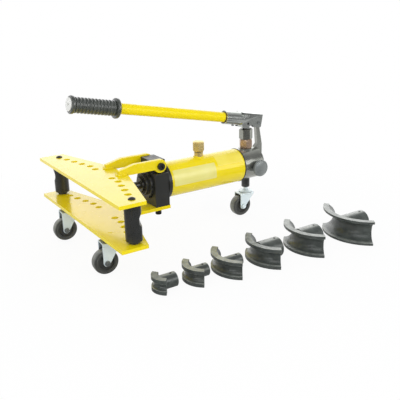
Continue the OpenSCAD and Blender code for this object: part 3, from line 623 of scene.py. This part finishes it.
def grip_profile():
    """Outline of the grip: a wide flange, round ribs, and a narrower flange at the free end."""
    start, end, flange, ribs, half, steps = 351, 451, 7, 12, 2.9, 8
    base, rib, rim, end_rim, bore, soft = 13.75, 15.75, 20.5, 17.75, 11.05, 2.2
    pitch = (end - start - 2 * flange) / ribs
    out = [(bore, start)]
    out += arc(rim - soft, start + soft, soft, -90, 0)
    out += arc(rim - soft, start + flange - soft, soft, 0, 90)
    for i in range(ribs):
        middle = start + flange + (i + 0.5) * pitch
        for k in range(steps + 1):
            t = 2 * k / steps - 1
            out.append((base + (rib - base) * math.sqrt(1 - t * t), middle + half * t))
    out += arc(end_rim - soft, end - flange + soft, soft, -90, 0)
    out += arc(end_rim - soft, end - soft, soft, 0, 90)
    out.append((bore, end))
    return out


piece("grip_ribbed", lathe(grip_profile()), "grip", "handle", HANDLE_BAR, ["handle_grip"])

pin_profile = [(0, -15.1), (1.1, -15.2), (1.7, -15.5), (3.2, -15.5), (4, -14.9), (4, -14.5)]
pin_profile += [(r, -h) for r, h in reversed(pin_profile)]
piece("handle_pin_turned", lathe(pin_profile), "axle", "handle",
      HANDLE @ along((0, 1, 0), (0, 0, 0)), ["handle_pivot_pin"])

ring_outline = [(11.02, -0.6), (13.2, -0.2), (13.0, 0.5), (12.2, 1.0), (11.02, 1.4)]
ring_profile = [(r, SOCKET_END + h) for r, h in ring_outline]
piece("socket_sealant", lathe(ring_profile), "ring", "handle", HANDLE_BAR)


# Pump: barrel, gland nut and release knob
PUMP = Matrix.Translation((PUMP_X, 0, 0))
FLATS, HEX_TURN, HEX_EDGE = 27, TAU / 12, 0.4
BARREL_LOW, BARREL_TOP, GLAND_TOP, PACKING_TOP = 162, 183, 207, 197
SPIGOT_LOW, SPIGOT_TOP, SEAT_H, LAP = 150, 190, 153, 0.5
BORE_R, SPIGOT_R, PORT_R, MOUTH_R, MOUTH_H, FIT = 7.3, 10, 2.5, 8.6, 1.2, 0.02
barrel_hex = hex_band(FLATS, BARREL_LOW, BARREL_TOP, slope=1.6)
bm = lathe([(BORE_R, BARREL_LOW)] + barrel_hex + [(BORE_R, BARREL_TOP)])
lathe([(PORT_R, SPIGOT_LOW), (SPIGOT_R, SPIGOT_LOW), (SPIGOT_R, BARREL_LOW + LAP), (BORE_R, BARREL_LOW + LAP),
       (BORE_R, SEAT_H), (PORT_R, SEAT_H)], bm=bm)
lathe([(BORE_R, BARREL_TOP - LAP), (SPIGOT_R, BARREL_TOP - LAP), (SPIGOT_R, SPIGOT_TOP),
       (BORE_R, SPIGOT_TOP)], bm=bm)
piece("barrel_hexagon", bm, "copper", "frame", PUMP, ["pump_barrel"], HEX_EDGE)

gland_profile = [(SPIGOT_R + FIT, BARREL_TOP)] + hex_band(FLATS, BARREL_TOP, GLAND_TOP, HEX_TURN)
gland_profile += [(MOUTH_R, GLAND_TOP), (BORE_R, GLAND_TOP - MOUTH_H), (BORE_R, PACKING_TOP),
                  (SPIGOT_R + FIT, PACKING_TOP)]
piece("gland_hexagon", lathe(gland_profile), "hex", "frame", PUMP, ["pump_gland"], HEX_EDGE)


def knurl(radius):
    """A rim cut with fine straight flutes."""
    flutes, depth = 60, 0.35
    return lambda a: radius - depth * (0.5 - 0.5 * math.cos(flutes * a))


bm = lathe([
    (5.02, 0), (16.6, 0), (17.8, 0.5), (knurl(19), 1.6), (knurl(19), 6.6), (17.9, 7.9), (17.2, 8.2),
    (15.8, 8.2), (15.3, 7.9), (14.6, 8.3), (0, 8.5), (0, 8.1), (5.02, 8.1)
], steps=240)
piece("release_knob_turned", bm, "knob", "release", along((0, -1, 0), KNOB_AT),
      ["release_knob"])


# Oil filler: cap with collar and dome, and the weld round its neck
CAP_FLATS, CAP_LOW, CAP_TOP, CAP_CROWN = 24, 176.2, 197.2, 1.2
cone = CAP_FLATS / 2 * CONE_SHARE
cap_profile = [(0, 164.2), (6.1, 164.2), (6.7, 164.8), (6.7, 174.2), (10.6, 174.2), (11.2, 174.7),
               (11.2, 176.0)]
cap_profile += hex_band(CAP_FLATS, CAP_LOW, CAP_TOP, slope=0.8, crown=CAP_CROWN)
cap_profile += [(cone * 0.8, 196.6), (cone * 0.5, 197.0), (0, CAP_TOP)]
piece("filler_cap_hexagon", lathe(cap_profile), "brass", "filler",
      Matrix.Translation((FILLER_X, 0, 0)), ["filler_cap"], HEX_EDGE)

NECK_WELD_R, NECK_BEAD_R, NECK_BEAD_LIFT, NECK_STEPS = 10.6, 1.7, 0.5, 48
loop = []
for i in range(NECK_STEPS + 1):
    a = TAU * (i / NECK_STEPS + 0.25)
    y = NECK_WELD_R * math.sin(a)
    height = AXIS_H + math.sqrt(TANK_R ** 2 - y * y) + NECK_BEAD_LIFT
    loop.append((FILLER_X + NECK_WELD_R * math.cos(a), y, height))
piece("neck_weld", bead(loop, NECK_BEAD_R), "yellow", "frame")


# Wing: welds that hold the straps to the upper plate
WELD_OFF, WELD_BACK, WELD_FRONT = 0.9, 61.5, STRAP_FRONT - 1.0
TOE_NEAR, TOE_FAR, TOE_IN, TOE_DROP = 2.0, 2.4, 1.0, 0.5
for side, name in ((-1, "near"), (1, "far")):
    z = UPPER_TOP + WELD_OFF
    out, inner = side * (STRAP_OUT + WELD_OFF), side * (STRAP_IN - WELD_OFF)
    round_strap = [(WELD_BACK, out, z), (WELD_FRONT, out, z), (WELD_FRONT, inner, z), (WELD_BACK, inner, z)]
    toe = [(WELD_FRONT - TOE_NEAR, out - side * TOE_IN, z - TOE_DROP),
           (WELD_FRONT - TOE_FAR, inner + side * TOE_IN, z - TOE_DROP)]
    bm = bead(round_strap, radius=2.5, pitch=2.8)
    bead(toe, radius=2.3, pitch=3.2, bm=bm)
    piece(f"strap_weld_{name}", bm, "yellow", "wing")


# Block: pivot bolts and the screws under the tail
PIVOT_SEAT = 34.6
TAIL_SCREW_X, TAIL_SCREW_Y, TAIL_UNDER = 132, 28, 74
bm = bmesh.new()
for side in (-1, 1):
    cap_screw(head_r=7.7, head_h=6, shank_r=5, shank=25.6, key=6, depth=3.2, bm=bm,
              at=along((0, side, 0), (PIVOT[0], side * PIVOT_SEAT, PIVOT[1])))
piece("pivot_bolts_socket", bm, "dark", "frame", None, ["pivot_bolts"])
bm = bmesh.new()
for side in (-1, 1):
    cap_screw(head_r=6.5, head_h=11, shank_r=4, shank=31, key=6, depth=4, bm=bm,
              at=along((0, 0, -1), (TAIL_SCREW_X, side * TAIL_SCREW_Y, TAIL_UNDER)))
piece("block_screws_socket", bm, "dark", "frame", None, ["block_bolts"])


# Ram: the return spring, pressed together by the piston in use, built as one coil at the CAD spring's length
def coil(low, high, radius, wire, turns, steps=28, sides=10):
    """A round wire wound about X between two stations, with its cut ends closed."""
    bm = bmesh.new()
    count = turns * steps
    rings = []
    for i in range(count + 1):
        turned = TAU * i / steps
        out = Vector((0, math.cos(turned), math.sin(turned)))
        centre = Vector((low + wire + (high - low - 2 * wire) * i / count, 0, AXIS_H)) + out * radius
        ring = []
        for k in range(sides):
            a = TAU * k / sides
            ring.append(bm.verts.new(centre + out * wire * math.cos(a) + Vector((wire * math.sin(a), 0, 0))))
        rings.append(ring)
    return skin(bm, rings)


SPRING_WIRE, SPRING_TURNS, SPRING_PLAY = 1.6, 9, 1.0
spring_low, spring_high = (Vector(corner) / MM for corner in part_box("return_spring"))
spring_r = (spring_high.y - spring_low.y) / 2 - SPRING_WIRE
spring = piece("return_spring_coil", coil(spring_low.x, spring_high.x, spring_r, SPRING_WIRE, SPRING_TURNS),
               "steel", "frame", None, ["return_spring"])
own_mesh(spring)


# Casters
def fork_mesh(rise):
    """A pressed fork: one sheet bent over into two tapering legs, and a round race on top."""
    bm = bmesh.new()
    out, thick, top, bend, foot, wide = 13.5, 2.5, 55.8 + rise, 3.0, 7.0, 15.0
    rows = []
    for i in range(10):
        a = math.radians(-85 + 85 * i / 9)
        half = foot * math.cos(a)
        rows.append((-out, AXLE_Z + foot * math.sin(a), 1, 0, TRAIL - half, TRAIL + half))
    for i in range(1, 9):
        t = i / 8
        z = AXLE_Z + (top - bend - AXLE_Z) * t
        rows.append((-out, z, 1, 0, (TRAIL - foot) * (1 - t) - wide * t, TRAIL + foot))
    for i in range(1, 7):
        a = math.radians(180 - 15 * i)
        rows.append((-out + bend + bend * math.cos(a), top - bend + bend * math.sin(a),
                     -math.cos(a), -math.sin(a), -wide, TRAIL + foot))
    rows += [(-y, z, -ny, nz, x0, x1) for y, z, ny, nz, x0, x1 in reversed(rows)]
    rings = []
    for y, z, ny, nz, x0, x1 in rows:
        iy, iz = y + ny * thick, z + nz * thick
        rings.append([bm.verts.new(p) for p in ((x0, y, z), (x1, y, z), (x1, iy, iz), (x0, iy, iz))])
    skin(bm, rings)
    bore, race_r, soft, low, high = 5.3, 17.0, 1.0, 53.3, 56.0
    race = [(bore, low)] + arc(race_r, low + soft, soft, -90, 0, 3)
    race += arc(race_r, high - soft, soft, 0, 90, 3) + [(bore, high)]
    return lathe([(r, h + rise) for r, h in race], bm=bm)


TYRE = [(17, -9), (18.8, -9), (19.2, -8.5), (20.2, -8.5), (20.6, -9), (21.6, -9)]
TYRE += arc(21.2, -5.2, 3.6, -78, -6) + [(25, 0)]
TYRE += [(r, -h) for r, h in reversed(TYRE[:-1])]
HUB = [(3.05, -10.7), (7.4, -10.7), (8, -10.1), (8, -6.6), (9, -5.8), (14.2, -5.8), (15.2, -6.6),
       (15.2, -8.6), (15.6, -9), (17, -9)]
HUB += [(r, -h) for r, h in reversed(HUB)]
STEM_LOW = [(0, 51.1), (4.5, 51.1), (7.2, 51.5), (8, 52.1), (8, 52.7), (5, 52.7), (5, 56.3), (14.6, 56.3),
            (15.6, 56.7), (16, 57.4), (15.8, 58.2), (14.6, 58.9), (12.4, 59.5), (10.6, 60.3)]

STEM_R, STEM_SOFT, COLLAR_TOP, REAR_STEM_TOP, FRONT_STEM_TOP = 5, 0.6, 60.3, 86.5, 81
AXLE_ROD = [(0, -18.4), (2.4, -18.4), (3, -17.8), (3, 17.8), (2.4, 18.4), (0, 18.5)]
NUTS, NUT_FLATS, NUT_BORE = ((13.55, 17.4), (-17.6, -13.55)), 10, 2.9
FRONT_SLEEVE = [(5.02, 70.32), (10.5, 70.32), (11, 70.8), (11, 73.5), (10.5, 73.98), (5.02, 73.98)]
REAR_SLEEVE = [(9.02, 68.6), (9.1, 68.6), (9.6, 69.1), (9.6, 88.6), (9.02, 88.6)]
STEM_PLUG = [(0, 81), (5.5, 81), (5.3, 81.12), (3, 81.24), (0, 81.28)]

for name, ((x, y), heading) in CASTERS.items():
    rear = name == "rear"
    caster, turns, spins = f"caster_{name}", f"{name}_swivel", f"{name}_wheel"
    swivel = Matrix.Translation((x, y, 0)) @ Matrix.Rotation(math.radians(heading), 4, "Z")
    axle = swivel @ along((0, 1, 0), (TRAIL, 0, AXLE_Z))
    rise = 0 if rear else FRONT_RISE
    piece(f"{caster}_fork_pressed", fork_mesh(rise), "zinc", turns, swivel, [f"{caster}_fork"], 0.5)
    bm = lathe(AXLE_ROD)
    for low, high in NUTS:
        lathe([(NUT_BORE, low)] + hex_band(NUT_FLATS, low, high) + [(NUT_BORE, high)], bm=bm)
    piece(f"{caster}_bolt", bm, "zinc" if rear else "axle", turns, axle, [f"{caster}_axle"], 0.25)
    piece(f"{caster}_wheel_hub", lathe(HUB), "hub", spins, axle, [f"{caster}_hub"])
    piece(f"{caster}_wheel_tyre", lathe(TYRE), "tyre", spins, axle, [f"{caster}_tyre"])
    stem_top = REAR_STEM_TOP if rear else FRONT_STEM_TOP
    stem = [(r, h + rise) for r, h in STEM_LOW + [(STEM_R, COLLAR_TOP)]]
    stem += [(STEM_R, stem_top - STEM_SOFT), (STEM_R - STEM_SOFT, stem_top), (0, stem_top)]
    piece(f"{caster}_stem_turned", lathe(stem), "zinc", "frame", swivel, [f"{caster}_stem"])
    if not rear:
        piece(f"{caster}_plug", lathe(STEM_PLUG), "yellow", "frame", swivel)
    # Collars on the stems: ram steel at the rear; the front ones are black steel, which is painted shade
    # under the plate.
    sleeve = REAR_SLEEVE if rear else FRONT_SLEEVE
    piece(f"{caster}_sleeve", lathe(sleeve), "ram" if rear else "dark", "frame", swivel)


# Labels are left bare
piece("tank_label", wrap(x0=169, x1=276, low=-10, high=43, corner=2.5), "label", "frame")
piece("tank_patch", wrap(x0=283, x1=352, low=27, high=74, corner=2.0), "patch", "frame")


# Dies: a set screw in each hub
PIPE_PLAY, SCREW_BACK, SCREW_SUNK = 0.3, 9.5, 1.0
KEY = hex_rule(2.5)
SET_SCREW = [(0, -5), (1.9, -5), (2.4, -4.4), (2.4, -0.4), (2.0, 0), (1.6, 0), (KEY, -0.2), (KEY, -2),
             (0, -2.3)]
for k in range(len(DIE_ENDS)):
    half = PIPE_DS[k] / 2 + PIPE_PLAY + LIPS[k]
    x = DIE_ENDS[k] + DIE_RADII[k] * math.cos(DIE_SWEEP) + HUB_OVERS[k] - SCREW_BACK
    top = half + half - HUB_DROPS[k] - SCREW_SUNK
    piece(f"die_{k + 1}_set_screw", lathe(SET_SCREW, steps=48), "dark", f"loose_die_{k + 1}",
          Matrix.Translation((x, -DIE_ROW - DIE_FAN * k, top)))


# Floor, light and background
WHITE = (1, 1, 1, 1)
FLOOR_GREY = (0.86, 0.86, 0.86, 1)
FLOOR_HALF, FLOOR_CENTRE = 6, (0.22, -0.05, 0)
SHADOW_NEAR, SHADOW_FAR, SHADOW_SHARE = 0.30, 0.75, 0.93
SKY, SKY_LEVEL = (0.97, 0.985, 1.0, 1), 0.70


def camera_mask(w):
    """1 for what the camera sees, directly or in a mirror."""
    path = w.node("ShaderNodeLightPath").outputs
    seen = w.math("MAXIMUM", path["Is Camera Ray"], path["Is Glossy Ray"])
    return w.math("MAXIMUM", seen, path["Is Transmission Ray"])


def mirror_level(w, place, turned, low, high, dark):
    """1 for what is seen directly; in a mirror, less towards the room on the camera's side."""
    room = w.remap(w.vector("DOT_PRODUCT", place, turned), low, high, 1 - dark, 0.0)
    mirrored = w.math("MULTIPLY", w.node("ShaderNodeLightPath").outputs["Is Glossy Ray"], room)
    return w.math("SUBTRACT", 1.0, mirrored)


def floor_material():
    """Pale floor that keeps a soft shadow near the object and is white further off."""
    material = bpy.data.materials.new("studio_floor")
    material.use_nodes = True
    w = Wires(material.node_tree)
    place = w.node("ShaderNodeNewGeometry").outputs["Position"]
    away = w.vector("DISTANCE", place, FLOOR_CENTRE)
    share = w.math("MULTIPLY", camera_mask(w), w.remap(away, SHADOW_NEAR, SHADOW_FAR, SHADOW_SHARE, 1.0))
    grey = w.node("ShaderNodeBsdfDiffuse")
    grey.inputs["Color"].default_value = FLOOR_GREY
    white = w.node("ShaderNodeEmission")
    white.inputs["Color"].default_value = WHITE
    w.join(mirror_level(w, place, (0.56, 0.83, 0), -0.25, 0.45, 0.12), white.inputs["Strength"])
    w.blend(share, grey.outputs[0], white.outputs[0], w.node("ShaderNodeOutputMaterial"))
    return material


bm = bmesh.new()
bmesh.ops.create_grid(bm, x_segments=1, y_segments=1, size=FLOOR_HALF)
mesh = bpy.data.meshes.new("floor")
bm.to_mesh(mesh)
bm.free()
floor = bpy.data.objects.new("floor", mesh)
scene.collection.objects.link(floor)
mesh.materials.append(floor_material())


def studio_world():
    """A white backdrop; the room above and on the camera's side is darker, which shows in mirrors alone."""
    world = bpy.data.worlds.new("studio")
    scene.world = world
    world.use_nodes = True
    w = Wires(world.node_tree)
    lit = w.node("ShaderNodeBackground")
    lit.inputs["Color"].default_value = SKY
    lit.inputs["Strength"].default_value = SKY_LEVEL
    seen = w.node("ShaderNodeBackground")
    seen.inputs["Color"].default_value = WHITE
    way = w.node("ShaderNodeTexCoord").outputs["Generated"]
    w.join(mirror_level(w, way, (0.54, 0.80, -0.26), -0.15, 0.55, 0.14), seen.inputs["Strength"])
    w.blend(camera_mask(w), lit.outputs[0], seen.outputs[0], w.node("ShaderNodeOutputWorld"))


studio_world()

# Each lamp's name, place, aim, width, height and power
LIGHTS = [
    ("key", (-0.9, -1.0, 1.9), (0.15, -0.05, 0.1), 1.6, 1.2, 9),
    ("fill", (0.9, -1.9, 0.8), (0.2, 0.0, 0.1), 1.6, 1.0, 13.2),
    ("left", (-1.8, -0.55, 0.45), (0.05, 0.0, 0.1), 1.4, 0.9, 7),
    ("behind", (1.15, 1.75, 0.90), (0.05, 0.0, 0.12), 3.4, 1.7, 14),
]
for name, at, aim, wide, high, power in LIGHTS:
    lamp = bpy.data.lights.new(name, "AREA")
    lamp.shape = "RECTANGLE"
    lamp.size = wide
    lamp.size_y = high
    lamp.energy = power
    obj = bpy.data.objects.new(name, lamp)
    scene.collection.objects.link(obj)
    way = (Vector(aim) - Vector(at)).normalized()
    obj.matrix_world = Matrix.Translation(at) @ way.to_track_quat("-Z", "Y").to_matrix().to_4x4()

scene.view_settings.view_transform = "Standard"
